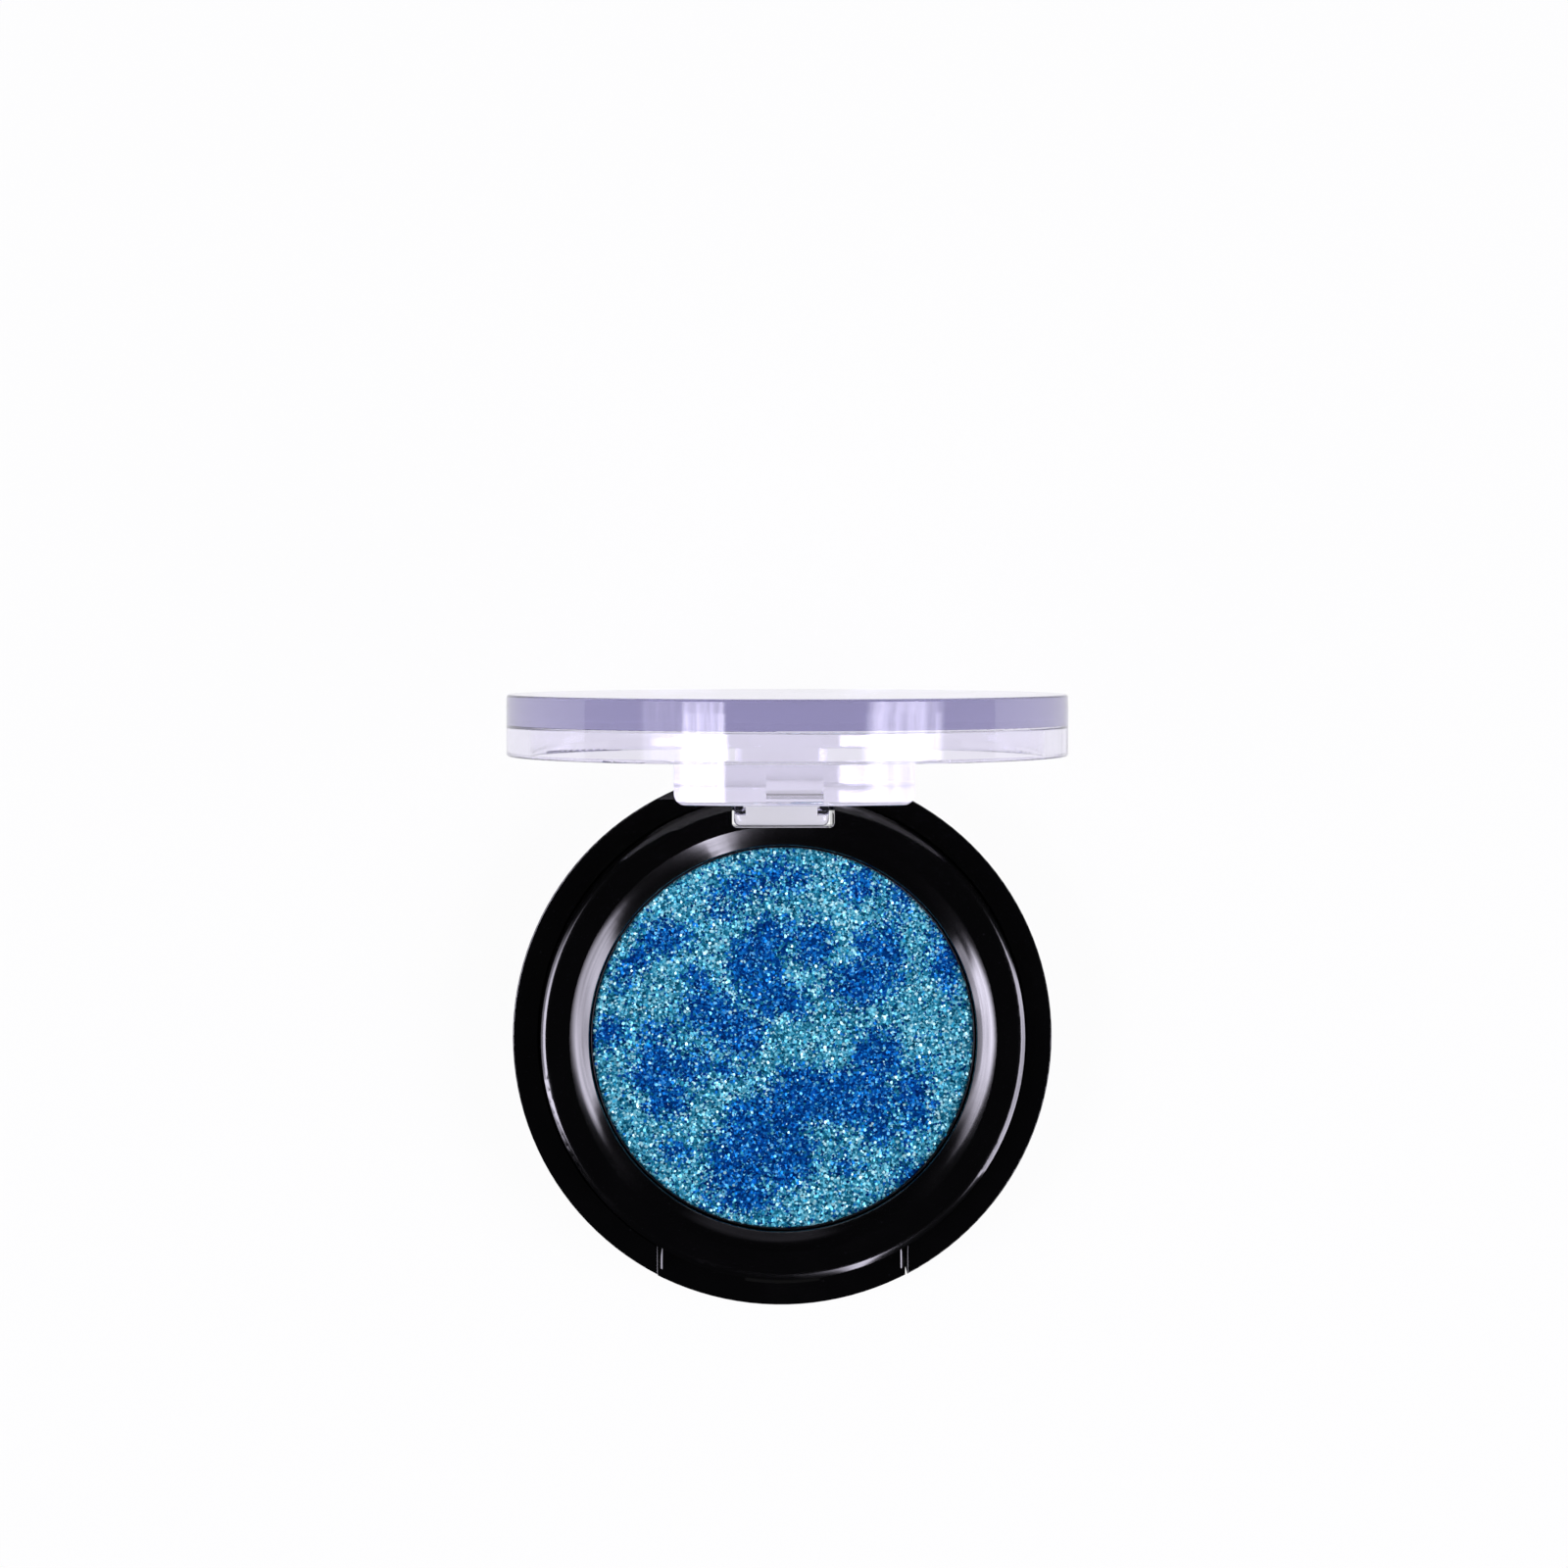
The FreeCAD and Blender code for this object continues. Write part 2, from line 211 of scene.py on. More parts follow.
# %% [markdown]
# ## The floor's paint
#
# Plain white paint would come out grey wherever the light is a little low, so the paint is mixed with a
# glow of strength one that only some rays see. What the lens sees directly is nearly all glow, and what
# it sees by way of a mirror or clear plastic is four fifths glow. So the floor reads as white, and still
# lights dull surfaces only as paint does.

# %% Paint the floor
FLOOR_PAINT = (0.86, 0.86, 0.86, 1)
WHITE = (1, 1, 1, 1)
GLOW_SEEN_DIRECTLY = 0.95
GLOW_SEEN_THROUGH = 0.8

white_sweep, tree, out = new_material("white_sweep")
paint = add(tree, "ShaderNodeBsdfDiffuse", {"Color": FLOOR_PAINT})
glow = add(tree, "ShaderNodeEmission", {"Color": WHITE, "Strength": 1.0})
ray = add(tree, "ShaderNodeLightPath").outputs
direct = math_node(tree, "MULTIPLY", ray["Is Camera Ray"], GLOW_SEEN_DIRECTLY)
bent = math_node(tree, "MAXIMUM", ray["Is Glossy Ray"], ray["Is Transmission Ray"])
bent = math_node(tree, "MULTIPLY", bent, GLOW_SEEN_THROUGH)
glow_share = math_node(tree, "MAXIMUM", direct, bent)
mixed = add(tree, "ShaderNodeMixShader", {0: glow_share, 1: paint.outputs[0], 2: glow.outputs[0]})
plug(tree, out.inputs["Surface"], mixed.outputs[0])
floor_mesh.materials.append(white_sweep)
print("floor painted", white_sweep.name)

# %% [markdown]
# ## The face of a softbox
#
# Gloss black shows nothing but what it mirrors, so the face of each lamp is part of the picture. A lamp
# of even strength would draw streaks with hard edges. Here the strength fades towards the edges, and the
# fade at one end can be longer, for a streak that tapers away. The cloth of a softbox also hangs in folds,
# which show as fine lines along a streak, so stretched noise dims it in bands.

# %% Fades and folds of a lamp's face
FOLD_DEPTH = 0.6
FOLD_STRETCH = (1.6, 7.0, 1.0)
FOLD_TURN = (0, 0, 0.06)
FOLD_DETAIL = 3.0
FOLD_NOISE_ENDS = (0.3, 0.7)


def edge_fade(tree, share, start, end):
    """One in the middle of a lamp's face, falling to nothing over a share of it at each end."""
    rise = map_range(tree, share, (0.0, start), interpolation_type="SMOOTHSTEP")
    fall = map_range(tree, share, (1.0, 1 - end), interpolation_type="SMOOTHSTEP")
    return math_node(tree, "MULTIPLY", rise, fall)


def cloth_folds(tree, share):
    """Bands across a lamp's face, a little darker and lighter by turns."""
    spot = add(tree, "ShaderNodeCombineXYZ", {0: share["X"], 1: share["Y"], 2: 0.0})
    bands = add(tree, "ShaderNodeMapping", {
        "Vector": spot.outputs[0], "Scale": FOLD_STRETCH, "Rotation": FOLD_TURN})
    shade = add(tree, "ShaderNodeTexNoise", {
        "Vector": bands.outputs[0], "Scale": 1.0, "Detail": FOLD_DETAIL})
    return map_range(tree, shade.outputs[0], FOLD_NOISE_ENDS, (1 - FOLD_DEPTH, 1 + FOLD_DEPTH))


print("folds from", 1 - FOLD_DEPTH, "to", 1 + FOLD_DEPTH)

# %% [markdown]
# ## The lamps
#
# Two softboxes, left and right, draw the long soft streaks on the dish and the collar, a narrow one in
# front draws the short ones, and weaker panels lift what lies beside them. A picture of a studio wrapped
# round the scene could light it too, but an area lamp has a size and a place that can be set by angle.
# The angles are those of the streaks: a slope that leans by some angle mirrors what stands at twice that
# angle.

# %% Build the lamps
AIM_POINT = Vector((0, 0, LEDGE_HEIGHT))
LAMP_DISTANCE = 0.7
LAMP_TINT = (0.87, 0.83, 1.0, 1)


def span(degrees):
    """The length that takes up an angle at the distance of the lamps."""
    return 2 * LAMP_DISTANCE * math.tan(math.radians(degrees / 2))


def softbox(name, azimuth, polar, wide, tall, radiance, fade, taper=None):
    """A rectangular lamp with soft edges, seen from the case at these angles in degrees."""
    turn = math.radians(azimuth)
    lean = math.radians(polar)
    way = Vector((math.cos(turn) * math.sin(lean), math.sin(turn) * math.sin(lean), math.cos(lean)))
    lamp = bpy.data.lights.new(name, "AREA")
    lamp.shape = "RECTANGLE"
    lamp.size = span(wide)
    lamp.size_y = span(tall)
    lamp.energy = radiance * math.pi * lamp.size * lamp.size_y
    lamp.use_nodes = True
    tree = lamp.node_tree
    tree.nodes.clear()
    face = add(tree, "ShaderNodeNewGeometry").outputs["Parametric"]
    share = add(tree, "ShaderNodeSeparateXYZ", {0: face}).outputs
    across = edge_fade(tree, share["X"], taper or fade, fade)
    along = edge_fade(tree, share["Y"], fade, fade)
    strength = math_node(tree, "MULTIPLY", across, along)
    strength = math_node(tree, "MULTIPLY", strength, cloth_folds(tree, share))
    light = add(tree, "ShaderNodeEmission", {"Color": LAMP_TINT, "Strength": strength})
    add(tree, "ShaderNodeOutputLight", {"Surface": light.outputs[0]})
    holder = new_object(name, lamp)
    aim(holder, AIM_POINT + way * LAMP_DISTANCE, AIM_POINT, Vector((0, 0, 1)))
    holder.visible_camera = False


softbox("softbox_left", azimuth=184.5, polar=34, wide=35, tall=19, radiance=11.0, fade=0.13, taper=0.5)
softbox("panel_left", azimuth=206, polar=50, wide=15, tall=20, radiance=3.2, fade=0.06)
softbox("wash_left", azimuth=182, polar=51, wide=38, tall=22, radiance=2.2, fade=0.2)
softbox("wash_back", azimuth=80, polar=42, wide=36, tall=24, radiance=0.2, fade=0.25)
softbox("softbox_right", azimuth=-13, polar=45, wide=39, tall=36, radiance=7.0, fade=0.15)
softbox("fill_front", azimuth=-73, polar=40, wide=5, tall=34, radiance=12.0, fade=0.05, taper=0.6)

# %% [markdown]
# ## The room
#
# Round the case the room is dim: grey walls low down and darkness overhead, which keeps the flat faces
# black. Rays that have come through the clear lid see pale walls instead, as they would on a white set,
# under a ceiling that is dimmer. Real walls could stand round the case, but a world that shades from
# walls to ceiling by height does the same and casts no shadow.

# %% Build the world
WALLS, OVERHEAD = 0.06, 0.012
WALL_TO_CEILING = (0.2, 0.65)
WALLS_THROUGH_LID, OVERHEAD_THROUGH_LID = 0.85, 0.4
WALL_TO_CEILING_THROUGH_LID = (0.4, 0.6)

world = bpy.data.worlds.new("studio")
bpy.context.scene.world = world
world.use_nodes = True
tree = world.node_tree
tree.nodes.clear()
spot = add(tree, "ShaderNodeTexCoord").outputs["Generated"]
height = add(tree, "ShaderNodeSeparateXYZ", {0: spot}).outputs["Z"]
dim = map_range(tree, height, WALL_TO_CEILING, (WALLS, OVERHEAD))
pale = map_range(tree, height, WALL_TO_CEILING_THROUGH_LID, (WALLS_THROUGH_LID, OVERHEAD_THROUGH_LID))
through = add(tree, "ShaderNodeLightPath").outputs["Is Transmission Ray"]
level = add(tree, "ShaderNodeMix", {"Factor": through, "A": dim, "B": pale})
air = add(tree, "ShaderNodeBackground", {"Color": WHITE, "Strength": level.outputs[0]})
add(tree, "ShaderNodeOutputWorld", {"Surface": air.outputs[0]})
bpy.context.scene.view_settings.view_transform = "Standard"
print("world", world.name, "with", len(tree.nodes), "nodes")

# %% [markdown]
# ## Node groups
#
# An effect that several finishes share is built once, as a node group with named inputs. Copies of its
# nodes in each material would look the same, but would have to be changed one by one.

# %% Group helpers


def new_group(name, takes, gives):
    """A shader node group with named float inputs and named outputs."""
    made = bpy.data.node_groups.new(name, "ShaderNodeTree")
    for label, value in takes.items():
        socket = made.interface.new_socket(label, in_out="INPUT", socket_type="NodeSocketFloat")
        socket.default_value = value
    for label, kind in gives.items():
        made.interface.new_socket(label, in_out="OUTPUT", socket_type=kind)
    entry = made.nodes.new("NodeGroupInput").outputs
    leave = made.nodes.new("NodeGroupOutput").inputs
    return made, entry, leave


def place_group(tree, group, **values):
    """Place a node group in a material, with its inputs by name."""
    made = tree.nodes.new("ShaderNodeGroup")
    made.node_tree = group
    for label, value in values.items():
        plug(tree, made.inputs[label.replace("_", " ").capitalize()], value)
    return made.outputs


print("group helpers ready")

# %% [markdown]
# ## Moulded gloss, shared by every plastic piece
#
# Injection-moulded gloss is never a perfect mirror. The mould leaves a faint orange peel, handling leaves
# smears that dull it in patches, and a few specks of dust settle. All are needed on the case and the deck,
# and the first two on the clear lid, so they are one node group, placed in each material with other values.

# %% Build the moulded gloss group
SMEARS_PER_METRE = 160.0
SMEAR_DETAIL = 4.0
SMEAR_RAGGEDNESS = 0.62
SMEAR_NOISE_ENDS = (0.45, 0.75)
PEEL_DETAIL = 1.0
SPECKS_PER_METRE = 700.0
SPECK_EDGE = (0.03, 0.05)

moulded, entry, leave = new_group(
    "moulded_gloss",
    {"Polish": 0.06, "Smear": 0.05, "Peel size": 1.2},
    {"Roughness": "NodeSocketFloat", "Height": "NodeSocketFloat", "Dust": "NodeSocketFloat"})
spot = add(moulded, "ShaderNodeTexCoord").outputs["Object"]
patches = add(moulded, "ShaderNodeTexNoise", {
    "Vector": spot, "Scale": SMEARS_PER_METRE, "Detail": SMEAR_DETAIL, "Roughness": SMEAR_RAGGEDNESS})
smear = map_range(moulded, patches.outputs[0], SMEAR_NOISE_ENDS)
smear = math_node(moulded, "MULTIPLY", smear, entry["Smear"])
plug(moulded, leave["Roughness"], math_node(moulded, "ADD", smear, entry["Polish"]))
peel_scale = math_node(moulded, "DIVIDE", 1 / MM, entry["Peel size"])
peel = add(moulded, "ShaderNodeTexNoise", {"Vector": spot, "Scale": peel_scale, "Detail": PEEL_DETAIL})
plug(moulded, leave["Height"], peel.outputs[0])
specks = add(moulded, "ShaderNodeTexVoronoi", {
    "Vector": spot, "Scale": SPECKS_PER_METRE, "Randomness": 1.0})
plug(moulded, leave["Dust"], map_range(moulded, specks.outputs["Distance"], SPECK_EDGE, (1.0, 0.0)))
print("group", moulded.name, [socket.name for socket in moulded.interface.items_tree])

# %% [markdown]
# ## Gloss black plastic
#
# The base and the deck are moulded in the same black plastic. The colour is close to nothing, and the
# look comes from the clear skin over it, so shine, roughness and a trace of peel do the work. The peel
# is too shallow to model, so it is a bump.

# %% Dress the base and the deck
PLASTIC_IOR = 1.59
PLASTIC_SHINE = 0.7
PLASTIC_BLACK = (0.0008, 0.0008, 0.0010, 1)
DUST_GREY = (0.012, 0.012, 0.014, 1)
CASE_PEEL_SIZE = 1.4
CASE_PEEL_STRENGTH = 0.04
PEEL_DEPTH = 0.02 * MM


def black_plastic(name, polish, smear):
    """Gloss black of some roughness where it is clean, and more where it is smeared."""
    made, tree, out = new_material(name)
    skin = place_group(tree, moulded, polish=polish, smear=smear, peel_size=CASE_PEEL_SIZE)
    tone = add(tree, "ShaderNodeMix", {
        "Factor": skin["Dust"], "A": PLASTIC_BLACK, "B": DUST_GREY}, data_type="RGBA")
    bump = add(tree, "ShaderNodeBump", {
        "Height": skin["Height"], "Strength": CASE_PEEL_STRENGTH, "Distance": PEEL_DEPTH})
    shader = add(tree, "ShaderNodeBsdfPrincipled", {
        "Base Color": tone.outputs["Result"], "Roughness": skin["Roughness"], "IOR": PLASTIC_IOR,
        "Specular IOR Level": PLASTIC_SHINE, "Normal": bump.outputs[0]})
    plug(tree, out.inputs["Surface"], shader.outputs[0])
    return made


dress("base_shell", black_plastic("case_black_gloss", polish=0.09, smear=0.05))
dress("deck_insert", black_plastic("deck_black_gloss", polish=0.105, smear=0.04))
print("black pieces dressed, shine", PLASTIC_SHINE)

# %% [markdown]
# ## How far light is followed
#
# In the thick clear lid, light is thrown to and fro between the faces many times. A ray that is dropped
# too early leaves a black rim, so the limits on its bounces are raised.

# %% Raise the limits on bounces
LID_BOUNCES = 32

paths = bpy.context.scene.cycles
paths.max_bounces = LID_BOUNCES
paths.glossy_bounces = LID_BOUNCES
paths.transmission_bounces = LID_BOUNCES
print("up to", paths.max_bounces, "bounces")

# %% [markdown]
# ## Clear lid
#
# The lid is a thick clear moulding with a breath of violet. Seen through its flat face it is almost
# colourless, but seen on edge the light runs the whole width of the disc, and the tint shows. A tinted
# skin would colour both alike. Volume absorption counts the length of the way through the plastic, so it
# does most of the tinting. Clear plastic would cast a dark shadow, so shadow rays pass it as a pale film.

# %% Dress the lid
LID_SKIN = (0.945, 0.93, 0.99, 1)
LID_SHADOW = (0.86, 0.85, 0.92, 1)
LID_TINT = (0.06, 0.02, 0.4, 1)
LID_TINT_DENSITY = 26.0
LID_IOR = 1.59
LID_PEEL_SIZE = 2.5
LID_PEEL_STRENGTH = 0.03

lid_clear, tree, out = new_material("lid_clear_violet")
skin = place_group(tree, moulded, polish=0.02, smear=0.03, peel_size=LID_PEEL_SIZE)
bump = add(tree, "ShaderNodeBump", {
    "Height": skin["Height"], "Strength": LID_PEEL_STRENGTH, "Distance": PEEL_DEPTH})
clear = add(tree, "ShaderNodeBsdfPrincipled", {
    "Base Color": LID_SKIN, "Roughness": skin["Roughness"], "IOR": LID_IOR, "Transmission Weight": 1.0,
    "Normal": bump.outputs[0]})
film = add(tree, "ShaderNodeBsdfTransparent", {"Color": LID_SHADOW})
shadow = add(tree, "ShaderNodeLightPath").outputs["Is Shadow Ray"]
either = add(tree, "ShaderNodeMixShader", {0: shadow, 1: clear.outputs[0], 2: film.outputs[0]})
plug(tree, out.inputs["Surface"], either.outputs[0])
tint = add(tree, "ShaderNodeVolumeAbsorption", {"Color": LID_TINT, "Density": LID_TINT_DENSITY})
plug(tree, out.inputs["Volume"], tint.outputs[0])
dress("lid", lid_clear)
print("lid dressed in", lid_clear.name)

# %% [markdown]
# ## Metal, glue and paper
#
# The pan is thin pressed aluminium, and the pins are drawn steel wire. The pan's colour is painted shade:
# near black, so that its thin rim shows as a dark ring beside the powder and not as a bright one. A glue
# pad holds the pan, and a bare paper disc closes the underside. They hardly show, so one plain function
# with a fine grain serves all four, but each has its own finish for when the case turns.

# %% Dress the small pieces
GRAIN_DETAIL = 3.0
GRAIN_STRENGTH = 0.2
GRAIN_DEPTH = 0.01 * MM


def plain_grain(name, dark, light, grains_per_metre, metallic, roughness):
    """A material whose colour and roughness drift over a fine grain."""
    made, tree, out = new_material(name)
    spot = add(tree, "ShaderNodeTexCoord").outputs["Object"]
    grain = add(tree, "ShaderNodeTexNoise", {
        "Vector": spot, "Scale": grains_per_metre, "Detail": GRAIN_DETAIL}).outputs[0]
    tone = add(tree, "ShaderNodeMix", {
        "Factor": grain, "A": (*dark, 1), "B": (*light, 1)}, data_type="RGBA")
    bump = add(tree, "ShaderNodeBump", {
        "Height": grain, "Strength": GRAIN_STRENGTH, "Distance": GRAIN_DEPTH})
    shader = add(tree, "ShaderNodeBsdfPrincipled", {
        "Base Color": tone.outputs["Result"], "Roughness": map_range(tree, grain, (0.0, 1.0), roughness),
        "Metallic": metallic, "Normal": bump.outputs[0]})
    plug(tree, out.inputs["Surface"], shader.outputs[0])
    return made


# painted shade: the pan's metal is coloured near black so its thin rim shows dark beside the powder
aluminium = plain_grain(
    "pan_metal_painted_shade", dark=(0.02, 0.02, 0.024), light=(0.045, 0.045, 0.05),
    grains_per_metre=2500.0, metallic=1.0, roughness=(0.3, 0.45))
steel = plain_grain(
    "pin_steel", dark=(0.20, 0.20, 0.21), light=(0.42, 0.42, 0.44),
    grains_per_metre=4000.0, metallic=1.0, roughness=(0.2, 0.4))
glue = plain_grain(
    "glue_pad", dark=(0.55, 0.52, 0.44), light=(0.72, 0.70, 0.62),
    grains_per_metre=900.0, metallic=0.0, roughness=(0.5, 0.7))
paper = plain_grain(
    "label_paper", dark=(0.78, 0.78, 0.76), light=(0.90, 0.90, 0.88),
    grains_per_metre=3000.0, metallic=0.0, roughness=(0.7, 0.9))
dress("metal_pan", aluminium)
dress("hinge_pin_left", steel)
dress("hinge_pin_right", steel)
dress("pan_adhesive", glue)
dress("underside_label", paper)
print("small pieces dressed in", [finish.name for finish in (aluminium, steel, glue, paper)])

# %% [markdown]
# ## Where the powder is blue
#
# Two glitters, teal and deep blue, were poured and pressed together, so the blue lies in soft drifts with
# ragged edges. Noise alone could place them, but not where they lie on this cake, so the drifts are a
# short list of given ovals. For a point of the surface, the depth inside the nearest oval says
# how likely a grain there is blue, and noise frays the edges. The noise has a seed of its own, or it would
# differ from run to run.

# %% Lay out the blue drifts
# each oval: middle across, middle up, half width, half height, lean in degrees; lengths in millimetres
BLUE_DRIFTS = (
    (7.6, -1.6, 1.9, 2.3, 0), (5.6, -5.0, 3.5, 2.1, 0), (1.6, -4.7, 3.3, 2.0, 10),
    (-1.4, -7.6, 3.4, 2.6, 30), (-3.7, -10.6, 2.4, 2.6, 0), (0.3, -9.6, 2.1, 2.5, 0),
    (10.6, -5.0, 1.3, 2.4, -10), (8.0, -7.5, 0.9, 1.3, 0), (-3.4, -13.0, 2.0, 0.9, 0),
    (-2.2, 5.6, 1.9, 2.5, 10), (-0.7, 8.2, 1.6, 1.6, 0), (-0.3, 3.2, 1.8, 1.4, 0),
    (2.5, 7.9, 1.4, 1.6, 0), (-5.7, 2.0, 2.2, 1.6, -30), (-3.5, 0.6, 1.8, 1.5, 0),
    (6.4, 4.4, 2.3, 1.5, 10), (8.7, 7.2, 1.0, 2.0, 0), (7.0, 7.4, 0.8, 1.0, 0),
    (-10.4, -2.4, 1.6, 2.2, 0), (-9.6, -4.8, 1.5, 1.3, -20), (-7.5, -2.2, 1.8, 0.9, 0),
    (-4.8, -2.6, 1.1, 0.5, 0), (-9.9, 8.2, 1.5, 1.3, 0), (-11.8, 6.2, 1.5, 0.7, 45),
    (-3.0, 12.5, 2.0, 0.7, 20), (-0.5, 13.5, 0.8, 0.8, 0), (0.9, 12.7, 0.9, 0.8, 0),
    (6.2, 12.2, 1.1, 0.9, 0), (9.7, 11.4, 0.6, 0.9, 0), (13.4, 6.4, 1.0, 2.3, 0),
    (-14.3, 0.3, 1.4, 0.8, 40), (-10.2, 0.4, 1.4, 0.6, 30), (-8.7, -9.4, 0.9, 0.8, 0),
    (10.3, -11.2, 1.0, 0.6, 30), (4.9, -10.2, 0.7, 0.6, 0), (-5.2, 10.2, 0.8, 0.5, 0),
    (-6.7, 4.8, 0.7, 0.7, 0),
)
DRIFT_EDGE = 1.4
DRIFT_GROWTH = 0.31
DRIFT_SEED = 13
BLUE_MOST, BLUE_LEAST = 0.92, 0.07
# each fray: waves to the millimetre, and the push in millimetres
FRAY = ((0.35, 0.6), (1.1, 0.45))
FRAY_LAYER = 3.0
noise.seed_set(DRIFT_SEED)


def blue_chance(x, y):
    """How likely a grain at this place, in millimetres, is blue."""
    place = Vector((x, y, 0))
    for frequency, push in FRAY:
        place += noise.noise_vector(Vector((x, y, FRAY_LAYER)) * frequency) * push
    depth = -DRIFT_EDGE
    for middle_x, middle_y, half_x, half_y, lean in BLUE_DRIFTS:
        turn = math.radians(lean)
        across = place.x - middle_x
        up = place.y - middle_y
        along = (across * math.cos(turn) + up * math.sin(turn)) / half_x
        athwart = (up * math.cos(turn) - across * math.sin(turn)) / half_y
        depth = max(depth, (1 - math.hypot(along, athwart)) * min(half_x, half_y) + DRIFT_GROWTH)
    inside = min(max(0.5 + depth / DRIFT_EDGE, 0), 1)
    return BLUE_LEAST + (BLUE_MOST - BLUE_LEAST) * inside


print(len(BLUE_DRIFTS), "drifts, chance in the middle", round(blue_chance(0, 0), 2))

# %% [markdown]
# ## The pressed top
#
# The powder is pressed into its pan, so its top is level but never smooth. A grid would leave a stepped
# edge, and a fan of thin triangles can't carry grain. A disc of rings, each with six more points than
# the last, gives triangles of even size, and noise of two sizes lifts and lowers them. The edge is eased
# as on the solid that this piece stands in for.

# %% Build the pressed top
RINGS = 84
SECTORS = 6
# each relief: waves to the millimetre, and the lift in millimetres
GRAIN_RELIEF = ((0.5, 0.035), (2.6, 0.03))
RELIEF_LAYER = 7.0
EDGE_EASE = 0.25 * MM
EDGE_SINK = 0.5 * EDGE_EASE


def ring_points(ring):
    """How many points a ring has; the middle is a ring of one."""
    return max(SECTORS * ring, 1)


def ring_vert(ring, step):
    """A point of a ring, counted round and round."""
    start = 0 if ring == 0 else 1 + SECTORS * ring * (ring - 1) // 2
    return bed.verts[start + step % ring_points(ring)]


def bed_height(x, y):
    """The height of the pressed top at a place, in metres."""
    spot = Vector((x / MM, y / MM, RELIEF_LAYER))
    lift = sum(noise.noise(spot * frequency) * size * MM for frequency, size in GRAIN_RELIEF)
    past = max(0, (math.hypot(x, y) - CAKE_RADIUS) / EDGE_EASE + 1)
    return cake_high.z + lift * (1 - past * past) - EDGE_SINK * past * past


bed = bmesh.new()
for ring in range(RINGS + 1):
    reach = CAKE_RADIUS * ring / RINGS
    for step in range(ring_points(ring)):
        turn = 2 * math.pi * step / ring_points(ring)
        x = reach * math.cos(turn)
        y = reach * math.sin(turn)
        bed.verts.new((x, y, bed_height(x, y)))
bed.verts.ensure_lookup_table()
for ring in range(1, RINGS + 1):
    for sector in range(SECTORS):
        outer = [ring_vert(ring, sector * ring + step) for step in range(ring + 1)]
        inner = [ring_vert(ring - 1, sector * (ring - 1) + step) for step in range(ring)]
        for step in range(ring):
            bed.faces.new((inner[step], outer[step], outer[step + 1]))
        for step in range(ring - 1):
            bed.faces.new((inner[step], outer[step + 1], inner[step + 1]))
print("top", len(bed.verts), "points,", len(bed.faces), "faces")

# %% [markdown]
# ## The wall and the foot of the bed
#
# Below its top the cake fills the pan. The rim of the top goes down in two steps, the second one drawn
# in where the pan's own corner is round, and one face closes the foot. So the bed is a closed shape, as
# the solid was. An extrusion would do this too, but it numbers its faces in another order on each run.

# %% Close the bed below
FOOT_ROUND = 0.35 * MM

rim = [ring_vert(RINGS, step) for step in range(ring_points(RINGS))]
for low, shrink in ((cake_low.z + FOOT_ROUND, 0), (cake_low.z, FOOT_ROUND)):
    lower = []
    for vert in rim:
        flat = Vector((vert.co.x, vert.co.y, 0)).normalized() * (CAKE_RADIUS - shrink)
        lower.append(bed.verts.new((flat.x, flat.y, low)))
    for step in range(len(rim)):
        bed.faces.new((rim[step - 1], lower[step - 1], lower[step], rim[step]))
    rim = lower
bed.faces.new(reversed(rim))
bed_mesh = bpy.data.meshes.new("powder_bed")
bed.to_mesh(bed_mesh)
bed.free()
bed_mesh.shade_smooth()
powder_bed = new_object("powder_bed", bed_mesh)
print("bed", len(bed_mesh.polygons), "faces")

# %% [markdown]
# ## Blue marked on the bed
#
# The chance of blue is stored on the mesh, point by point. The bed and the flakes on top of it both read
# it from there, so they agree.

# %% Store the chance of blue
blue = bed_mesh.attributes.new("blue", "FLOAT", "POINT")
for number, vert in enumerate(bed_mesh.vertices):
    blue.data[number].value = blue_chance(vert.co.x / MM, vert.co.y / MM)
mean_chance = sum(point.value for point in blue.data) / len(blue.data)
print("mean chance of blue", round(mean_chance, 2))

# %% [markdown]
# ## Glitter colour, shared by the bed and the flakes
#
# Each grain is either teal or blue, never a blend, and each has its own depth of tone. The group takes the
# chance of blue and one random number of the grain, decides between the two glitters, and picks a tone
# from the ramp of that glitter with a second number shaken out of the first.

# %% Build the glitter colour group
# each tone: its place on the ramp, and its red, green and blue
TEAL_TONES = (
    (0.0, (0.0, 0.049, 0.096)), (0.45, (0.0165, 0.23, 0.335)),
    (0.8, (0.16, 0.63, 0.73)), (1.0, (0.6, 0.98, 0.95)))
BLUE_TONES = (
    (0.0, (0.0, 0.014, 0.1)), (0.55, (0.0, 0.055, 0.252)),
    (0.9, (0.009, 0.225, 0.64)), (1.0, (0.15, 0.57, 0.88)))
SHAKE = 37.7


def ramp(tree, factor, stops):
    """A colour ramp through the given stops."""
    made = add(tree, "ShaderNodeValToRGB", {"Fac": factor})
    points = made.color_ramp.elements
    points[0].position, points[0].color = stops[0][0], (*stops[0][1], 1)
    points[1].position, points[1].color = stops[-1][0], (*stops[-1][1], 1)
    for place, colour in stops[1:-1]:
        points.new(place).color = (*colour, 1)
    return made.outputs["Color"]


glitter, entry, leave = new_group(
    "glitter_colour", {"Blue chance": 0.5, "Grain": 0.5}, {"Color": "NodeSocketColor"})
is_blue = math_node(glitter, "LESS_THAN", entry["Grain"], entry["Blue chance"])
shaken = math_node(glitter, "FRACT", math_node(glitter, "MULTIPLY", entry["Grain"], SHAKE))
teal = ramp(glitter, shaken, TEAL_TONES)
deep = ramp(glitter, shaken, BLUE_TONES)
chosen = add(glitter, "ShaderNodeMix", {"Factor": is_blue, "A": teal, "B": deep}, data_type="RGBA")
plug(glitter, leave["Color"], chosen.outputs["Result"])
print("group", glitter.name, [socket.name for socket in glitter.interface.items_tree])

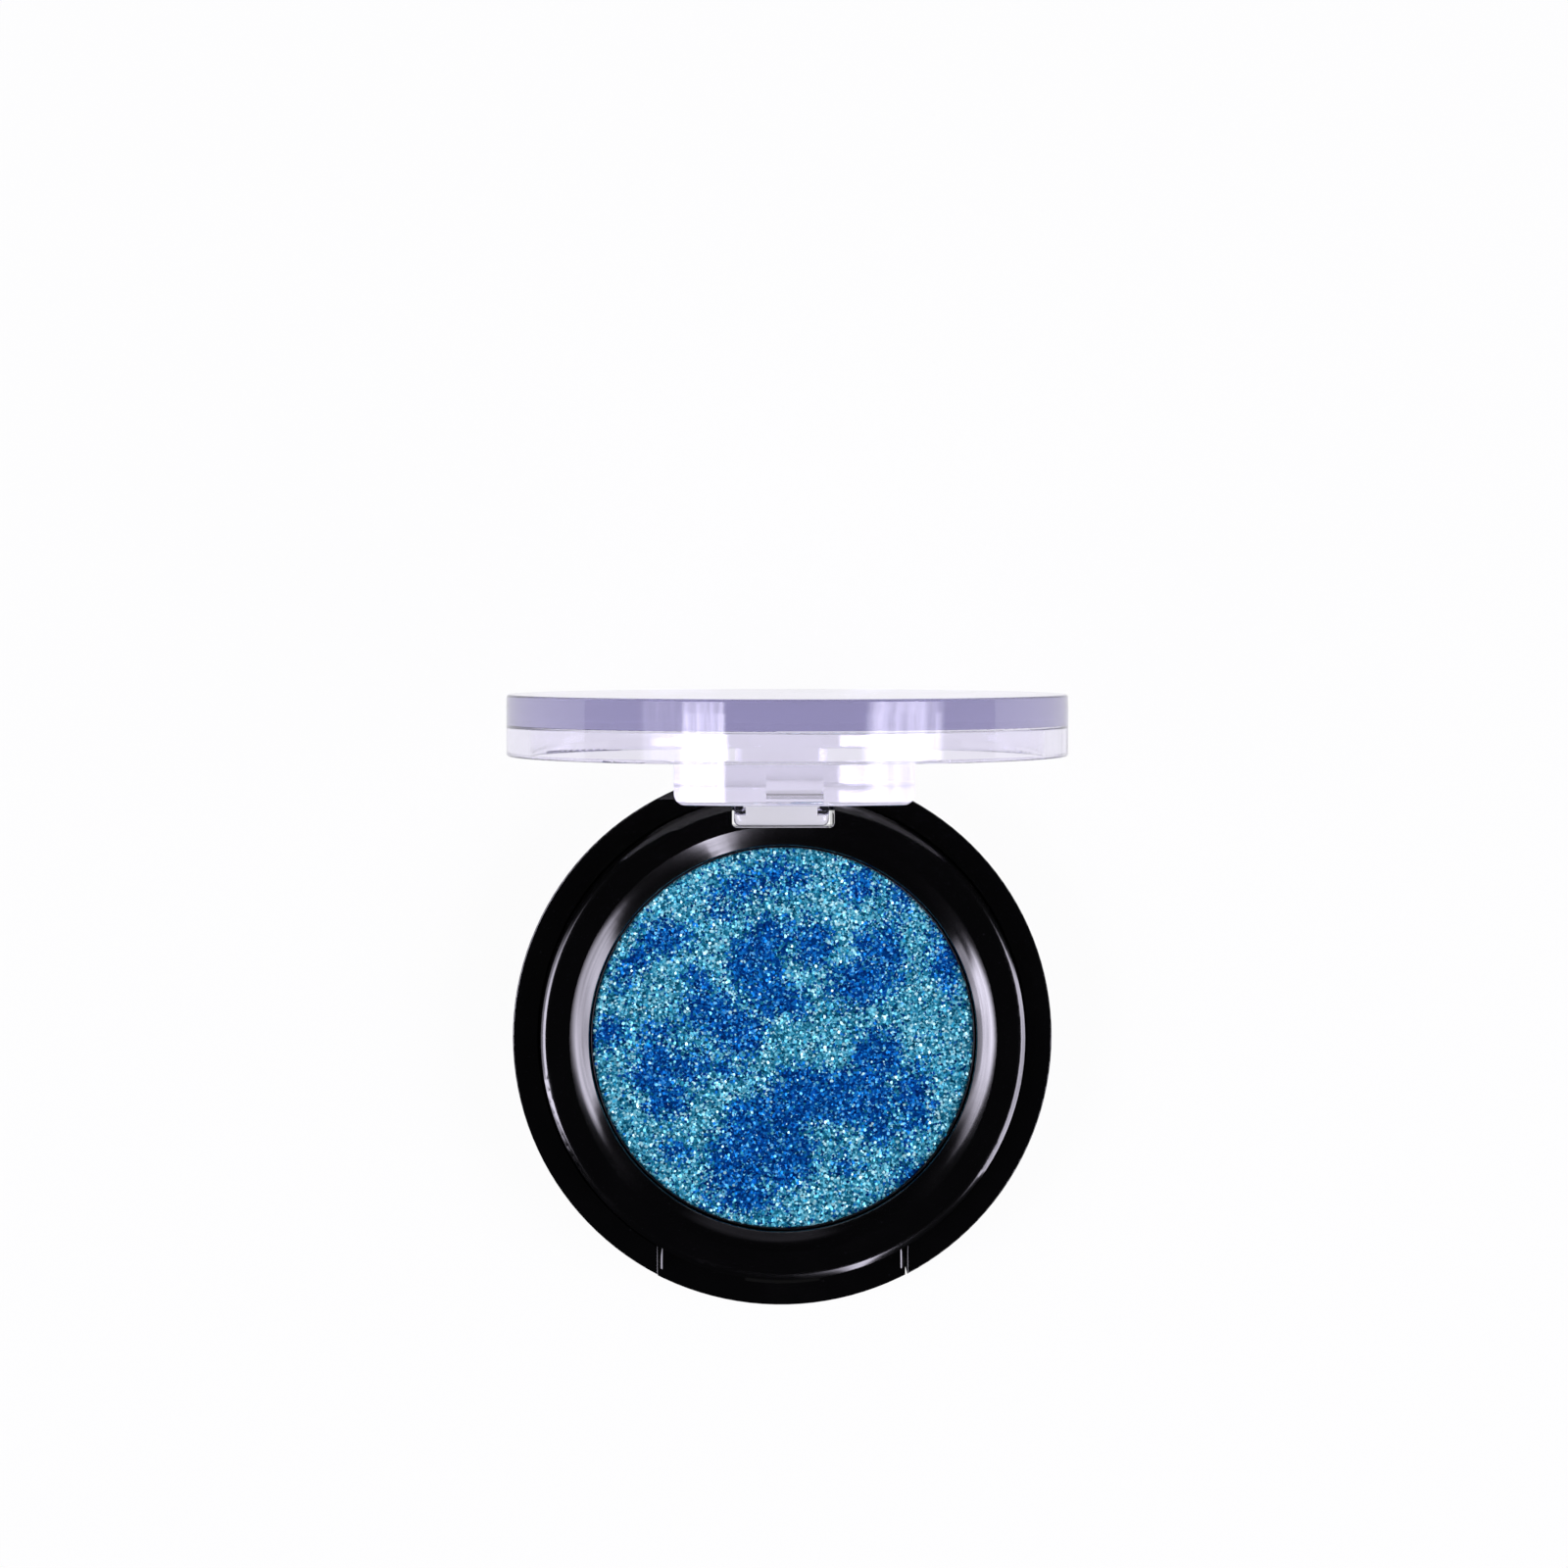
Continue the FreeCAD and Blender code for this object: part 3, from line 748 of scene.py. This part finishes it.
# %% [markdown]
# ## Finish of the bed and of the flakes
#
# The bed and the flakes share one material function and differ in what they take as a grain. The bed is
# powder between the flakes: dull, with a fine random cell for each grain. A flake is bright film, so it is
# part metal and smoother, and it carries its own random number.

# %% Dress the bed
BED_GRAINS_PER_METRE = 7000.0


def glitter_material(name, grain_of, metallic, roughness, shine):
    """A finish in the two glitter colours, with the grain that a function gives."""
    made, tree, out = new_material(name)
    chance = add(tree, "ShaderNodeAttribute", attribute_name="blue").outputs["Fac"]
    colour = place_group(tree, glitter, blue_chance=chance, grain=grain_of(tree))["Color"]
    shader = add(tree, "ShaderNodeBsdfPrincipled", {
        "Base Color": colour, "Metallic": metallic, "Roughness": roughness, "Specular IOR Level": shine})
    plug(tree, out.inputs["Surface"], shader.outputs[0])
    return made


def speckle(tree):
    """A random number for each fine grain of the bed."""
    spot = add(tree, "ShaderNodeTexCoord").outputs["Object"]
    cells = add(tree, "ShaderNodeTexVoronoi", {"Vector": spot, "Scale": BED_GRAINS_PER_METRE})
    return add(tree, "ShaderNodeSeparateColor", {0: cells.outputs["Color"]}).outputs[0]


def flake_number(tree):
    """The random number stored on each flake."""
    return add(tree, "ShaderNodeAttribute", attribute_name="flake").outputs["Fac"]


pressed_bed = glitter_material("pressed_bed", speckle, metallic=0.0, roughness=0.6, shine=0.02)
flake_film = glitter_material("glitter_flakes", flake_number, metallic=0.55, roughness=0.38, shine=0.02)
bed_mesh.materials.append(pressed_bed)
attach(powder_bed, "base")
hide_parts("powder_cake")
print("bed dressed in", pressed_bed.name)

# %% [markdown]
# ## The flakes
#
# Cosmetic glitter is cut from film into tiny hexagons, and in a pressed cake they lie nearly flat, each
# with its own small tilt. Those that happen to face a lamp flash and the others stay deep, which is what
# makes the surface sparkle. Noise in a material could only paint that, so Geometry Nodes scatter one
# hexagon over the bed. The tree takes its sizes as named inputs.

# %% Start the scatter tree
RIM_MARGIN = 0.15 * MM
FLAKE_SIZES = {
    "Across": 0.27 * MM, "Gap": 0.17 * MM, "Tilt": math.radians(24),
    "Reach": CAKE_RADIUS - RIM_MARGIN, "Lift": 0.03 * MM}

scatter = bpy.data.node_groups.new("flake_scatter", "GeometryNodeTree")
scatter.interface.new_socket("Geometry", in_out="INPUT", socket_type="NodeSocketGeometry")
inputs = {}
for label in FLAKE_SIZES:
    inputs[label] = scatter.interface.new_socket(label, in_out="INPUT", socket_type="NodeSocketFloat")
scatter.interface.new_socket("Geometry", in_out="OUTPUT", socket_type="NodeSocketGeometry")
entry = scatter.nodes.new("NodeGroupInput").outputs
leave = scatter.nodes.new("NodeGroupOutput").inputs
print("scatter takes", list(inputs))

# %% [markdown]
# ## Where a flake may lie
#
# Flakes lie on the top of the bed only, and stop short of its rim. Poisson points keep a least gap, as
# flakes do that push each other aside; plain random points would clump. Each point gets its own number,
# which later decides its colour.

# %% Choose the points
MOST_PER_SQUARE_METRE = 9.0e7
LEVEL_ENOUGH = 0.5
POINT_SEED = 11
NUMBER_SEED = 3

place = add(scatter, "GeometryNodeInputPosition").outputs[0]
flat = add(scatter, "ShaderNodeVectorMath", {0: place, 1: (1, 1, 0)}, operation="MULTIPLY").outputs[0]
reach = add(scatter, "ShaderNodeVectorMath", {0: flat}, operation="LENGTH").outputs["Value"]
within = math_node(scatter, "LESS_THAN", reach, entry["Reach"])
normal = add(scatter, "GeometryNodeInputNormal").outputs[0]
facing = add(scatter, "ShaderNodeSeparateXYZ", {0: normal}).outputs["Z"]
upward = math_node(scatter, "GREATER_THAN", facing, LEVEL_ENOUGH)
points = add(scatter, "GeometryNodeDistributePointsOnFaces", {
    "Mesh": entry["Geometry"], "Selection": math_node(scatter, "MULTIPLY", within, upward),
    "Distance Min": entry["Gap"], "Density Max": MOST_PER_SQUARE_METRE, "Seed": POINT_SEED},
    distribute_method="POISSON")
number = add(scatter, "FunctionNodeRandomValue", {"Seed": NUMBER_SEED}, data_type="FLOAT")
tagged = add(scatter, "GeometryNodeStoreNamedAttribute", {
    "Geometry": points.outputs["Points"], "Name": "flake", "Value": number.outputs[1]},
    data_type="FLOAT", domain="POINT")
print("points at least", round(FLAKE_SIZES["Gap"] / MM, 2), "mm apart")

# %% [markdown]
# ## One hexagon on each point
#
# The hexagon is one flat face, since a flake is film and there are thousands of them. Each gets a random
# tilt, turn and size, all with fixed seeds. Then the instances are made real and given their finish.

# %% Place the hexagons
SMALLEST, LARGEST = 0.55, 1.2
TURN_SEED = 5
SIZE_SEED = 7

hexagon = add(scatter, "GeometryNodeMeshCircle", {"Vertices": 6, "Radius": 0.5}, fill_type="NGON")
back_tilt = math_node(scatter, "MULTIPLY", entry["Tilt"], -1.0)
least = add(scatter, "ShaderNodeCombineXYZ", {0: back_tilt, 1: back_tilt, 2: 0.0})
most = add(scatter, "ShaderNodeCombineXYZ", {0: entry["Tilt"], 1: entry["Tilt"], 2: 2 * math.pi})
# Random Value keeps its ends in sockets 0 and 1 for a vector, and in 2 and 3 for a number
turn = add(scatter, "FunctionNodeRandomValue", {
    0: least.outputs[0], 1: most.outputs[0], "Seed": TURN_SEED}, data_type="FLOAT_VECTOR")
share = add(scatter, "FunctionNodeRandomValue", {
    2: SMALLEST, 3: LARGEST, "Seed": SIZE_SEED}, data_type="FLOAT")
size = math_node(scatter, "MULTIPLY", share.outputs[1], entry["Across"])
flakes = add(scatter, "GeometryNodeInstanceOnPoints", {
    "Points": tagged.outputs[0], "Instance": hexagon.outputs[0], "Rotation": turn.outputs[0],
    "Scale": size})
raised = add(scatter, "ShaderNodeCombineXYZ", {2: entry["Lift"]})
lifted = add(scatter, "GeometryNodeSetPosition", {
    "Geometry": flakes.outputs[0], "Offset": raised.outputs[0]})
solid = add(scatter, "GeometryNodeRealizeInstances", {0: lifted.outputs[0]})
dressed = add(scatter, "GeometryNodeSetMaterial", {"Geometry": solid.outputs[0], "Material": flake_film})
plug(scatter, leave["Geometry"], dressed.outputs[0])
print("scatter of", len(scatter.nodes), "nodes")

# %% [markdown]
# ## From scatter to plain mesh
#
# The tree runs once, on a copy of the bed, and its result is kept as a plain mesh. So the flakes are a
# piece of their own that rides with the base, and nothing has to be worked out again later.

# %% Run the scatter
bed_copy = new_object("flake_bed", bed_mesh)
modifier = bed_copy.modifiers.new("flakes", "NODES")
modifier.node_group = scatter
for label, value in FLAKE_SIZES.items():
    modifier[inputs[label].identifier] = value
evaluated = bed_copy.evaluated_get(bpy.context.evaluated_depsgraph_get())
flake_mesh = bpy.data.meshes.new_from_object(evaluated)
# Set Material leaves an empty slot before its own
flake_mesh.materials.pop(index=0)
bpy.data.objects.remove(bed_copy)
glitter_flakes = new_object("glitter_flakes", flake_mesh)
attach(glitter_flakes, "base")
print("flakes", len(flake_mesh.polygons), "in", [finish.name for finish in flake_mesh.materials])

# %% [markdown]
# ## The end

# %% Finish
print("done")
